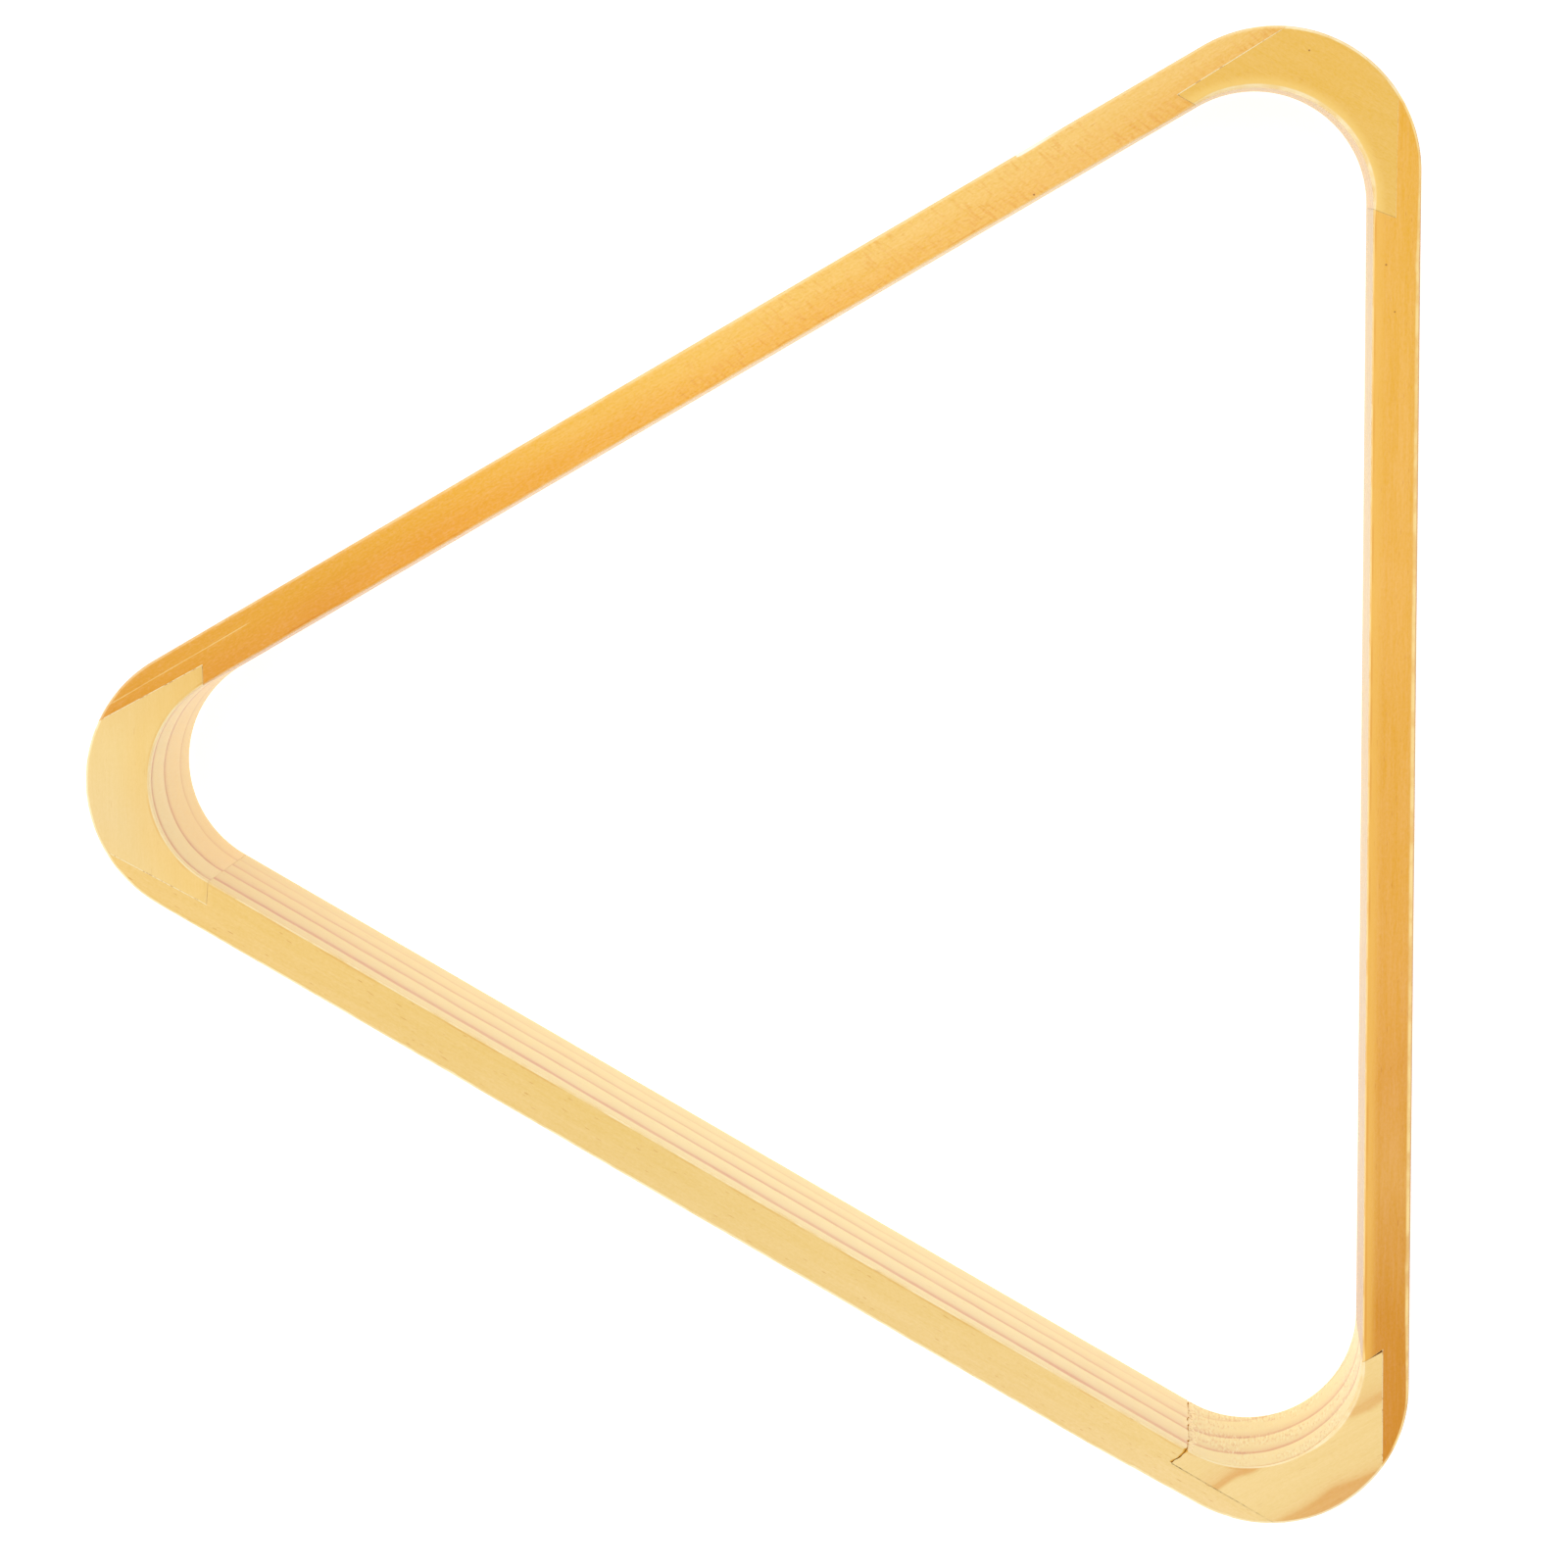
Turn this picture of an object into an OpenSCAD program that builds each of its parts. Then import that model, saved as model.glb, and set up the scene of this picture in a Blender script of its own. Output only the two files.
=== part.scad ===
// Triangle rack for fifteen pool balls: three straight wooden rails joined by three curved corner blocks.
// Lengths are in millimetres. The rack lies flat on the plane z = 0 with +Z up, its base rail runs along X,
// its apex points to +Y, and the origin is the centre of its plan box on that plane.

/* [Balls] */
// Diameter of one ball
ball_d = 57.15; // [40:0.05:70]
// Number of rows in the ball triangle
ball_rows = 5; // [3:1:6]
// Gap between the packed balls and each inner wall
ball_play = 0.75; // [0.2:0.05:4]

/* [Wall] */
// Thickness of the rails, from inner face to outer face
wall_t = 10; // [7:0.1:16]
// Height of the rack
wall_h = 45; // [25:0.5:70]
// Radius of the sanded top and bottom edges
edge_r = 0.9; // [0.3:0.1:2]

/* [Corners] */
// Radius of the inside of each corner
inner_r = 24.5; // [12:0.5:34]
// Radius of the outside of each corner
outer_r = 30.5; // [16:0.5:42]

/* [Lap joints] */
// Thickness of a block's end, where it is let into the rail
lap_t = 4.5; // [2:0.1:6]
// Thickness of the glue line between a rail and a block
glue_t = 0.1; // [0.05:0.05:0.4]

/* [Hidden] */
$fn = 120;
// Derived lengths are kept to whole micrometres, so that faces meant to meet do meet
function micron(v) = round(v * 1000) / 1000;
// Distance from the middle of the triangle to the inner and the outer faces
in_d = micron((ball_rows - 1) * ball_d / (2 * sqrt(3)) + ball_d / 2 + ball_play);
out_d = in_d + wall_t;
// Distance from the middle of the triangle to the centre of each corner arc
in_c = 2 * (in_d - inner_r);
out_c = 2 * (out_d - outer_r);
// Distance along a corner's middle line to the plane that holds both ends of its block,
// which is where the inner arc starts
end_d = in_c + inner_r / 2;
// Half the length of the straight part of a rail's outer face
run_x = micron(out_c * cos(30));
// Distance from the middle of the triangle to the block's cheek faces
cheek_d = in_d + lap_t;
// The middle of the triangle, seen from the centre of the plan box
mid_y = micron((out_d - out_c - outer_r) / 2);
// Reach of the cutting shapes past the solid
over = 5;
wood_amber = [0.93, 0.70, 0.35];
wood_light = [0.95, 0.81, 0.52];

// Upright section of a board: its face stands at x = face with both long edges rounded,
// and the wood behind it reaches to x = back
module face_section(face, back) {
  way = sign(back - face);
  bend = face + way * edge_r;
  translate([min(bend, back), 0])
    square([abs(back - bend), wall_h]);
  translate([bend - edge_r, edge_r])
    square([2 * edge_r, wall_h - 2 * edge_r]);
  translate([bend, edge_r])
    circle(edge_r);
  translate([bend, wall_h - edge_r])
    circle(edge_r);
}

// Stock whose outer face runs straight along the base and then round both outer corners
module outer_stock() {
  translate([-run_x, 0, 0])
    rotate([90, 0, 90])
      linear_extrude(2 * run_x)
        face_section(-out_d, outer_r - out_d);
  for (side = [0, 1])
    mirror([side, 0, 0])
      translate([run_x, outer_r - out_d, 0])
        rotate([0, 0, -90])
          rotate_extrude(angle = 60)
            face_section(outer_r, 0);
}

// Everything outside the base's inner face, with the edges of that face rounded
module inner_stock() {
  reach = out_c + outer_r;
  translate([-reach, 0, 0])
    rotate([90, 0, 90])
      linear_extrude(2 * reach)
        face_section(-in_d, -out_d - over);
}

// Plan of the base rail, drawn out past the faces of the stock
module rail_plan() {
  tip_x = (end_d - glue_t - (in_d - over) / 2) / cos(30);
  heel_x = (end_d - glue_t - (cheek_d + glue_t) / 2) / cos(30);
  far_x = out_c + outer_r;
  polygon([
    [-tip_x, over - in_d],
    [-heel_x, -cheek_d - glue_t],
    [-far_x, -cheek_d - glue_t],
    [-far_x, -out_d - over],
    [far_x, -out_d - over],
    [far_x, -cheek_d - glue_t],
    [heel_x, -cheek_d - glue_t],
    [tip_x, over - in_d]
  ]);
}

// The base rail: a straight board whose ends thin to tongues that follow the outer corner arcs
module rail() {
  intersection() {
    outer_stock();
    inner_stock();
    translate([0, 0, -over])
      linear_extrude(wall_h + 2 * over)
        rail_plan();
  }
}

// A disc about the outer corner centre with rounded edges, which gives a block its outer face,
// and a core that carries the block's arms back along its cheeks however small the disc is
module block_outer() {
  arm_r = outer_r - wall_t + lap_t;
  arm_x = arm_r * cos(30);
  back_x = (cheek_d - (end_d - over) / 2) / cos(30);
  translate([0, out_c, 0])
    rotate_extrude()
      face_section(outer_r, 0);
  linear_extrude(wall_h)
    polygon([
      [-back_x, end_d - over],
      [back_x, end_d - over],
      [arm_x, out_c + arm_r / 2],
      [0, out_c],
      [-arm_x, out_c + arm_r / 2]
    ]);
}

// A thick ring about the inner corner centre with rounded edges, which gives a block its inner face
module block_inner() {
  translate([0, in_c, 0])
    rotate_extrude()
      face_section(inner_r, inner_r + outer_r + 2 * wall_t);
}

// Plan of the apex block: both ends in one plane, and a straight cheek beside each rail
module block_plan() {
  heel_x = (cheek_d - end_d / 2) / cos(30);
  tip_y = 2 * cheek_d;
  polygon([
    [-heel_x, end_d],
    [heel_x, end_d],
    [0, tip_y]
  ]);
}

// The apex block: a curved board with thin ends
module block() {
  intersection() {
    block_outer();
    block_inner();
    translate([0, 0, -over])
      linear_extrude(wall_h + 2 * over)
        block_plan();
  }
}

// Sets a piece drawn at the base, or at the apex, in its place
module placed(turn) {
  translate([0, mid_y, 0])
    rotate([0, 0, turn])
      children();
}

module rail_base() {
  color(wood_amber)
    placed(0)
      rail();
}

module rail_right() {
  color(wood_amber)
    placed(120)
      rail();
}

module rail_left() {
  color(wood_light)
    placed(-120)
      rail();
}

module block_apex() {
  color(wood_light)
    placed(0)
      block();
}

module block_left() {
  color(wood_light)
    placed(120)
      block();
}

module block_right() {
  color(wood_amber)
    placed(-120)
      block();
}

rail_base();
rail_left();
rail_right();
block_apex();
block_left();
block_right();
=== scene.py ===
import math

import bmesh
import bpy
from mathutils import Matrix, Vector, noise


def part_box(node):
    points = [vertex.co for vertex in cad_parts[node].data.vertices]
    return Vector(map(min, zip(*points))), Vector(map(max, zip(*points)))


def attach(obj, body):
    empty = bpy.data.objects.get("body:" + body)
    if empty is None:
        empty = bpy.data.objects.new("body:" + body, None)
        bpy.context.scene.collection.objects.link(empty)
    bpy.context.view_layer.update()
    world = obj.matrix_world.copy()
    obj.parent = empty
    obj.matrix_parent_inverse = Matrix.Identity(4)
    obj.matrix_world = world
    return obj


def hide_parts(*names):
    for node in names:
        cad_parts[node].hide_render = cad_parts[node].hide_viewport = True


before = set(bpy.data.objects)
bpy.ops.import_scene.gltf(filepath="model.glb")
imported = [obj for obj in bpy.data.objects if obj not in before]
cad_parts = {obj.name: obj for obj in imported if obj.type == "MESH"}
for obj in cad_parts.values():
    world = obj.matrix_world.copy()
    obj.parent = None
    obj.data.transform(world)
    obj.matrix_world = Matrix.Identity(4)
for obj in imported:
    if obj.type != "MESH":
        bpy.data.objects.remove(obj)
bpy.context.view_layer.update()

MM = 0.001

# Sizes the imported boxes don't give directly, in metres
OUTER_R = 30.5 * MM
INNER_R = 24.5 * MM
EDGE_R = 0.9 * MM

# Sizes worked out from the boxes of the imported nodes
base_lo, base_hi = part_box("rail_base")
apex_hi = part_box("block_apex")[1]
WALL_T = base_hi.y - base_lo.y
WALL_H = base_hi.z - base_lo.z
OUT_D = (apex_hi.y - base_lo.y + OUTER_R) / 3
IN_D = OUT_D - WALL_T
MID_Y = base_lo.y + OUT_D
IN_C = 2 * (IN_D - INNER_R)
OUT_C = 2 * (OUT_D - OUTER_R)
END_D = IN_C + INNER_R / 2
COS30 = math.cos(math.radians(30))
RUN_OUT = OUT_C * COS30
RUN_IN = IN_C * COS30


def srgb(red, green, blue):
    """A display colour, 0 to 255, as the linear values that shaders take."""
    linear = []
    for value in (red, green, blue):
        share = value / 255
        if share <= 0.04045:
            linear.append(share / 12.92)
        else:
            linear.append(((share + 0.055) / 1.055) ** 2.4)
    return tuple(linear)


def spread(point, size, seed):
    """Smooth noise from -1 to 1 at a point, for features about size metres across."""
    shift = Vector((seed * 7.3, seed * 3.1, seed * 5.7))
    return noise.noise(Vector(point) / size + shift)


# ---------------------------------------------------------------- the ring of wood

# How finely the ring is divided: steps along each side, round each corner and round each rounded edge
SIDE_STEPS = 190
CORNER_STEPS = 64
BEND_STEPS = 5
# Where the section has its other points, as shares of the way across the top and up the walls
LEVEL_SHARES = [0.05, 0.16, 0.3, 0.5, 0.7, 0.84, 0.95]
WALL_SHARES = [0.02, 0.06, 0.15, 0.3, 0.45, 0.6, 0.75, 0.88, 0.95, 0.985]


def outline_stations():
    """The outer point, the inner point and the outward direction, anticlockwise round the rack."""
    stations = []
    for side in range(3):
        turn = math.radians(120 * side)
        along = Vector((math.cos(turn), math.sin(turn)))
        out = Vector((math.sin(turn), -math.cos(turn)))
        for step in range(SIDE_STEPS):
            share = -1 + 2 * step / SIDE_STEPS
            outer = along * (share * RUN_OUT) + out * OUT_D
            inner = along * (share * RUN_IN) + out * IN_D
            stations.append((outer, inner, out))
        corner = math.radians(120 * side - 30)
        axis = Vector((math.cos(corner), math.sin(corner)))
        for step in range(CORNER_STEPS):
            angle = corner + math.radians(-60 + 120 * step / CORNER_STEPS)
            out_here = Vector((math.cos(angle), math.sin(angle)))
            outer = axis * OUT_C + out_here * OUTER_R
            inner = axis * IN_C + out_here * INNER_R
            stations.append((outer, inner, out_here))
    return stations


# Small losses along the outer top edge: (side of the triangle, where it starts sharply along the board,
# where it fades out, extra rounding)
EDGE_LOSSES = [
    (1, -84.5 * MM, -95 * MM, 0.35 * MM),
    (1, 60 * MM, 68 * MM, 0.25 * MM),
    (2, 114 * MM, 119 * MM, 0.5 * MM),
    (2, 138 * MM, 129 * MM, 0.4 * MM),
    (2, 70 * MM, 74 * MM, 0.3 * MM),
    (2, -55 * MM, -62 * MM, 0.25 * MM),
    (0, -102 * MM, -109 * MM, 0.3 * MM),
    (0, 110 * MM, 115 * MM, 0.3 * MM),
]
# The outer top edge of the base was rounded more than the others: (from and to along the board, length
# over which that fades, extra rounding)
BASE_EDGE = (-135 * MM, 130 * MM, 20 * MM, 0.65 * MM)
# Where the inner top edge was rounded more: (corner of the triangle, from and to in degrees round the
# corner, extra rounding). Corner 0 is the right one, 1 the apex, 2 the left one.
SOFT_EDGES = [(0, -70, 70, 0.8 * MM), (2, 0, 70, 0.7 * MM)]
# The degrees over which that rounding fades
SOFT_FADE = 18
# Where the outer face was sanded back: (corner, middle of the flat in degrees, half width, depth)
SANDED = (2, -46, 48, 0.55 * MM)


def edge_loss(flat):
    """How much more the outer top edge is rounded at a point of the plan.

    Points of the plan are measured from the middle of the triangle.
    """
    loss = 0
    if flat.y < -IN_D:
        left, right, length, extra = BASE_EDGE
        loss = extra * max(min((flat.x - left) / length, (right - flat.x) / length, 1), 0)
    for side, start, fade, extra in EDGE_LOSSES:
        turn = math.radians(120 * side)
        along = flat.x * math.cos(turn) + flat.y * math.sin(turn)
        outward = flat.x * math.sin(turn) - flat.y * math.cos(turn)
        share = (along - start) / (fade - start)
        if outward > IN_D and 0 < share < 1:
            loss += extra * (1 - share) * min(share * 12, 1)
    return loss


def round_corner(flat, corner):
    """The angle of a point of the plan round one inner corner, in degrees from the corner's own axis."""
    axis = math.radians(120 * corner - 30)
    place = flat - Vector((math.cos(axis), math.sin(axis))) * IN_C
    return math.degrees(math.atan2(
        place.y * math.cos(axis) - place.x * math.sin(axis),
        place.x * math.cos(axis) + place.y * math.sin(axis),
    ))


def soft_edge(flat):
    """How much more the inner top edge is rounded at a point of the plan."""
    extra = 0
    for corner, start, end, depth in SOFT_EDGES:
        angle = round_corner(flat, corner)
        extra += depth * max(min((angle - start) / SOFT_FADE, (end - angle) / SOFT_FADE, 1), 0)
    return extra


def sanded_back(flat):
    """How far the outer face is sanded back at a point of the plan."""
    corner, middle, half, depth = SANDED
    share = min(abs(round_corner(flat, corner) - middle) / half, 1)
    return depth * (1 - share * share * (3 - 2 * share))


def section_points(half, out_low, out_top, in_top, in_low):
    """The section of the wall, up its outer face and over the top: (distance out from its middle, height).

    The last four values are the radii of its four edges.
    """
    bends = [math.radians(90 * step / BEND_STEPS) for step in range(BEND_STEPS + 1)]
    points = []
    for share in WALL_SHARES:
        points.append((half, out_low + (WALL_H - out_low - out_top) * share))
    for turn in bends:
        points.append((half - out_top * (1 - math.cos(turn)), WALL_H - out_top * (1 - math.sin(turn))))
    for share in LEVEL_SHARES:
        points.append(((half - out_top) * (1 - share) - (half - in_top) * share, WALL_H))
    for turn in reversed(bends):
        points.append((-half + in_top * (1 - math.cos(turn)), WALL_H - in_top * (1 - math.sin(turn))))
    for share in reversed(WALL_SHARES):
        points.append((-half, in_low + (WALL_H - in_low - in_top) * share))
    for turn in bends:
        points.append((-half + in_low * (1 - math.cos(turn)), in_low * (1 - math.sin(turn))))
    for share in LEVEL_SHARES:
        points.append((-(half - in_low) * (1 - share) + (half - out_low) * share, 0))
    for turn in reversed(bends):
        points.append((half - out_low * (1 - math.cos(turn)), out_low * (1 - math.sin(turn))))
    return points


def ring_mesh():
    """One closed ring of wood with softly rounded edges and the small unevenness of hand sanding."""
    bm = bmesh.new()
    rings = []
    for outer, inner, out in outline_stations():
        outer = outer - out * sanded_back(outer)
        mid = (outer + inner) / 2
        half = (outer - inner).length / 2
        centre = Vector((mid.x, mid.y, 0))
        across = (outer - inner) / (2 * half)

        def bend_radius(seed, share):
            uneven = 0.10 * spread(centre, 30 * MM, seed) + 0.04 * spread(centre, 6 * MM, seed + 1)
            return EDGE_R * share * (1 + uneven)

        out_low = bend_radius(11, 0.9)
        out_top = bend_radius(12, 0.95) + edge_loss(outer)
        in_top = bend_radius(13, 0.5) + soft_edge(inner)
        in_low = bend_radius(14, 0.9)
        row = []
        for offset, height in section_points(half, out_low, out_top, in_top, in_low):
            place = Vector((mid.x + across.x * offset, mid.y + across.y * offset, height))
            # hand sanding left long shallow waves and short shallower ones
            sink = 0.05 * MM * (0.5 + 0.5 * spread(place, 60 * MM, 21))
            sink += 0.01 * MM * (0.5 + 0.5 * spread(place, 10 * MM, 22))
            offset = offset * (1 - sink / half)
            height = height - sink * max(0.0, 2 * height / WALL_H - 1)
            x = mid.x + across.x * offset
            y = mid.y + across.y * offset + MID_Y
            row.append(bm.verts.new((x, y, height)))
        rings.append(row)
    count = len(rings)
    size = len(rings[0])
    for i in range(count):
        one = rings[i]
        two = rings[(i + 1) % count]
        for j in range(size):
            k = (j + 1) % size
            bm.faces.new((one[j], two[j], two[k], one[k]))
    bmesh.ops.recalc_face_normals(bm, faces=bm.faces)
    mesh = bpy.data.meshes.new("ring")
    bm.to_mesh(mesh)
    bm.free()
    return mesh


# ---------------------------------------------------------------- the cuts between the pieces

# Each lap joint was cut by hand, so they differ a little: how deep the lap is at its heel and at its tip,
# and how far out along the corner the end of the block lies at the inner face and at the heel
JOINTS = {
    ("rail_right", "block_apex"): (3.8 * MM, 4.6 * MM, END_D, END_D + 0.1 * MM),
    ("rail_left", "block_apex"): (4.5 * MM, 5.5 * MM, END_D - 0.3 * MM, END_D + 0.1 * MM),
    ("rail_right", "block_right"): (3.7 * MM, 4.5 * MM, END_D - 0.3 * MM, END_D - 0.3 * MM),
    ("rail_base", "block_right"): (4.7 * MM, 5.0 * MM, END_D - 0.6 * MM, END_D + 0.2 * MM),
    ("rail_base", "block_left"): (4.2 * MM, 4.4 * MM, END_D + 1.1 * MM, END_D + 1.1 * MM),
    ("rail_left", "block_left"): (4.5 * MM, 4.5 * MM, END_D - 0.2 * MM, END_D + 0.4 * MM),
}
# How far the heel of a joint stands open, where it shows
OPEN_HEELS = {("rail_base", "block_left"): 0.45 * MM}
# The one end joint that has broken open
BROKEN = ("rail_left", "block_left")
# How far the outlines run past the inner face, and a rail's past the outer face
PAST = 5 * MM
# How far along the board the tip of a lap lies, and how many times as far its line is drawn
TIP_X = 146 * MM
TIP_SHARE = 2.2
# How finely a cut is divided: even steps along the broken joint, and steps of height
BREAK_STEPS = 24
HEIGHT_STEPS = 56
# How high the eased edges of a joint are
EASE_H = 0.05 * MM
# How far each piece's own frame is turned from the rack's, in degrees
TURNS = {
    "rail_base": 0, "rail_right": 120, "rail_left": -120,
    "block_apex": 0, "block_left": 120, "block_right": -120,
}
# The two blocks at the ends of each rail, at its -X and its +X end, and the two rails beside each block.
# The pieces of BLOCKS_OF are the rails and those of RAILS_OF the blocks.
BLOCKS_OF = {
    "rail_base": ("block_left", "block_right"),
    "rail_right": ("block_right", "block_apex"),
    "rail_left": ("block_apex", "block_left"),
}
RAILS_OF = {
    "block_apex": ("rail_left", "rail_right"),
    "block_left": ("rail_base", "rail_left"),
    "block_right": ("rail_right", "rail_base"),
}


def turned(point, degrees):
    """A point of the plan turned anticlockwise about the middle of the triangle."""
    angle = math.radians(degrees)
    return Vector((
        point[0] * math.cos(angle) - point[1] * math.sin(angle),
        point[0] * math.sin(angle) + point[1] * math.cos(angle),
    ))


def joint_line(rail, block):
    """Three points of a joint in the rail's plan: past the inner face, its heel, and past its tip."""
    heel_lap, tip_lap, end_in, end_heel = JOINTS[(rail, block)]
    inside = Vector(((end_in - IN_D / 2) / COS30, -IN_D))
    heel = Vector(((end_heel - (IN_D + heel_lap) / 2) / COS30, -IN_D - heel_lap))
    outside = Vector((TIP_X, -IN_D - tip_lap))
    inside = inside + (inside - heel).normalized() * PAST
    outside = heel + (outside - heel) * TIP_SHARE
    if BLOCKS_OF[rail].index(block) == 0:
        inside.x, heel.x, outside.x = -inside.x, -heel.x, -outside.x
    return inside, heel, outside


def crossing(a, b, c, d):
    """Where the line through a and b meets the line through c and d."""
    one = b - a
    two = d - c
    share = ((c.x - a.x) * two.y - (c.y - a.y) * two.x) / (one.x * two.y - one.y * two.x)
    return a + one * share


def broken_line(heel, inside):
    """Points along the broken end joint, from its heel to inside the wall."""
    whole = (inside - heel).length
    distances = [whole * step / BREAK_STEPS for step in range(BREAK_STEPS)]
    distances += [whole - PAST - back * MM for back in (0.0, 0.12, 0.3, 0.55)]
    return [heel.lerp(inside, distance / whole) for distance in sorted(distances)]


def wander(distance, height):
    """How far the break strays towards the block, at a distance from the heel and a height."""
    place = Vector((distance, height, 0))
    # roughness of three sizes, in mm
    stray = 0.35 * spread(place, 11 * MM, 33) + 0.45 * spread(place, 3.2 * MM, 34)
    stray += 0.25 * spread(place, 1.2 * MM, 35)
    return MM * stray * min(distance / (1.5 * MM), 1)


def opening(distance, reach, height):
    """How far the break gapes at a distance from its heel, when the inner face is at reach."""
    near_face = math.exp(-max(reach - distance, 0.0) / (0.85 * MM))
    near_top = math.exp(-max(WALL_H - height, 0.0) / (0.25 * MM))
    rough = Vector((distance, height, 0))
    gape = 0.45 * near_face + 0.60 * near_top
    gape *= 1.0 + 0.9 * spread(rough, 3.5 * MM, 31) + 0.9 * spread(rough, 1.3 * MM, 32)
    return MM * max(gape, 0.0)


def rail_outline(rail):
    """Corners of a rail's plan in its own frame, anticlockwise: (point, kind of the edge after it)."""
    left, right = BLOCKS_OF[rail]
    in_l, heel_l, out_l = joint_line(rail, left)
    in_r, heel_r, out_r = joint_line(rail, right)
    far_y = -OUT_D - PAST
    corners = [(in_l, "end")]
    if (rail, left) in OPEN_HEELS:
        corners.append((heel_l.lerp(in_l, 0.3), "end"))
        heel_l.x += OPEN_HEELS[(rail, left)]
    corners += [(heel_l, "cheek"), (out_l, "free")]
    corners += [(Vector((out_l.x, far_y)), "free"), (Vector((out_r.x, far_y)), "free"), (out_r, "cheek")]
    if (rail, right) == BROKEN:
        corners += [(point, "break") for point in broken_line(heel_r, in_r)]
    else:
        corners.append((heel_r, "end"))
    corners.append((in_r, "free"))
    return corners


def block_outline(block):
    """Corners of a block's plan in its own frame, anticlockwise."""
    before, after = RAILS_OF[block]
    lines = []
    for rail in (before, after):
        shift = TURNS[rail] - TURNS[block]
        lines.append([turned(point, shift) for point in joint_line(rail, block)])
    (in_a, heel_a, out_a), (in_b, heel_b, out_b) = lines
    peak = crossing(heel_a, out_a, heel_b, out_b)
    corners = [(in_a, "free")]
    if (after, block) == BROKEN:
        # the inner corner of the block is chamfered away from the break
        chamfer_w = 1.1 * MM
        wall = (in_b - heel_b).length - PAST
        last = wall - 0.2 * MM
        kept = [point for point in broken_line(heel_b, in_b) if 0 < (point - heel_b).length < last]
        face = heel_b + (in_b - heel_b).normalized() * wall + (out_b - heel_b).normalized() * chamfer_w
        corners.append((kept[-1] + (face - kept[-1]) * 4, "chamfer"))
        corners += [(point, "torn") for point in reversed(kept)]
    else:
        corners.append((in_b, "end"))
    corners += [(heel_b, "lapped"), (peak, "lapped"), (heel_a, "end")]
    return corners


# Half the gap at each kind of edge, how deep the edge is eased at the top, and its material slot
EDGE_KINDS = {
    "free": (0.0, 0.0, 0),
    "cheek": (0.004 * MM, 0.30 * MM, 1),
    "lapped": (0.004 * MM, 0.03 * MM, 1),
    "end": (0.02 * MM, 0.10 * MM, 2),
    "break": (0.002 * MM, 0.0, 3),
    "torn": (0.002 * MM, 0.25 * MM, 3),
    "chamfer": (0.0, 0.0, 1),
}


def shrunk(corners, ease):
    """The outline with each edge moved inward by its own gap, and by ease times its easing."""
    nearly_straight = 0.05
    moved = []
    count = len(corners)
    for i in range(count):
        here, kind_after = corners[i]
        before, kind_before = corners[i - 1]
        after = corners[(i + 1) % count][0]
        a = (here - before).normalized()
        b = (after - here).normalized()
        na = Vector((-a.y, a.x))
        nb = Vector((-b.y, b.x))
        da = EDGE_KINDS[kind_before][0] + ease * EDGE_KINDS[kind_before][1]
        db = EDGE_KINDS[kind_after][0] + ease * EDGE_KINDS[kind_after][1]
        cross = na.x * nb.y - na.y * nb.x
        if abs(cross) < nearly_straight:
            moved.append(here + na * (da + db) / 2)
        else:
            shift = Vector(((da * nb.y - db * na.y) / cross, (db * na.x - da * nb.x) / cross))
            moved.append(here + shift)
    return moved


def cutter_mesh(corners):
    """An upright prism with eased joint edges at the top and bottom, and rough walls along a break."""
    # each level is (height, 1 where the edges are eased)
    beyond = 3 * MM
    levels = [(-beyond, 1), (0.0, 1), (EASE_H, 0)]
    levels += [(WALL_H * step / HEIGHT_STEPS, 0) for step in range(1, HEIGHT_STEPS)]
    levels += [(WALL_H - drop * MM, 0) for drop in (0.6, 0.35, 0.2, 0.1)]
    levels += [(WALL_H - EASE_H, 0), (WALL_H, 1), (WALL_H + beyond, 1)]
    broken = [corner for corner in corners if corner[1] in ("break", "torn")]
    lapped = [corner for corner in corners if corner[1] == "lapped"]
    bm = bmesh.new()
    rows = []
    for height, eased in levels:
        row = []
        for i, point in enumerate(shrunk(corners, eased)):
            flat, kind = corners[i]
            if kind in ("break", "torn"):
                heel = broken[0][0] if kind == "break" else lapped[0][0]
                distance = (flat - heel).length
                along = (corners[(i + 1) % len(corners)][0] - flat).normalized()
                inward = Vector((-along.y, along.x))
                stray = wander(distance, height)
                if kind == "torn":
                    point = point + inward * stray
                else:
                    reach = (corners[-1][0] - heel).length - PAST
                    point = point + inward * (opening(distance, reach, height) - stray)
            row.append(bm.verts.new((point.x, point.y, height)))
        rows.append(row)
    size = len(corners)
    for level, (low, high) in enumerate(zip(rows, rows[1:])):
        for j in range(size):
            k = (j + 1) % size
            face = bm.faces.new((low[j], low[k], high[k], high[j]))
            kind = corners[j][1]
            slot = EDGE_KINDS[kind][2]
            on_bevel = level in (1, len(rows) - 3)
            if kind == "cheek" and not on_bevel:
                slot = 2
            if kind == "torn" and on_bevel:
                slot = 1
            face.material_index = slot
    bm.faces.new(list(reversed(rows[0])))
    bm.faces.new(rows[-1])
    mesh = bpy.data.meshes.new("cutter")
    bm.to_mesh(mesh)
    bm.free()
    return mesh


def board_frame(turn):
    """Where the board's own frame lies: at the middle of the triangle, turned with its board."""
    return Matrix.Translation((0, MID_Y, 0)) @ Matrix.Rotation(math.radians(turn), 4, "Z")


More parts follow.
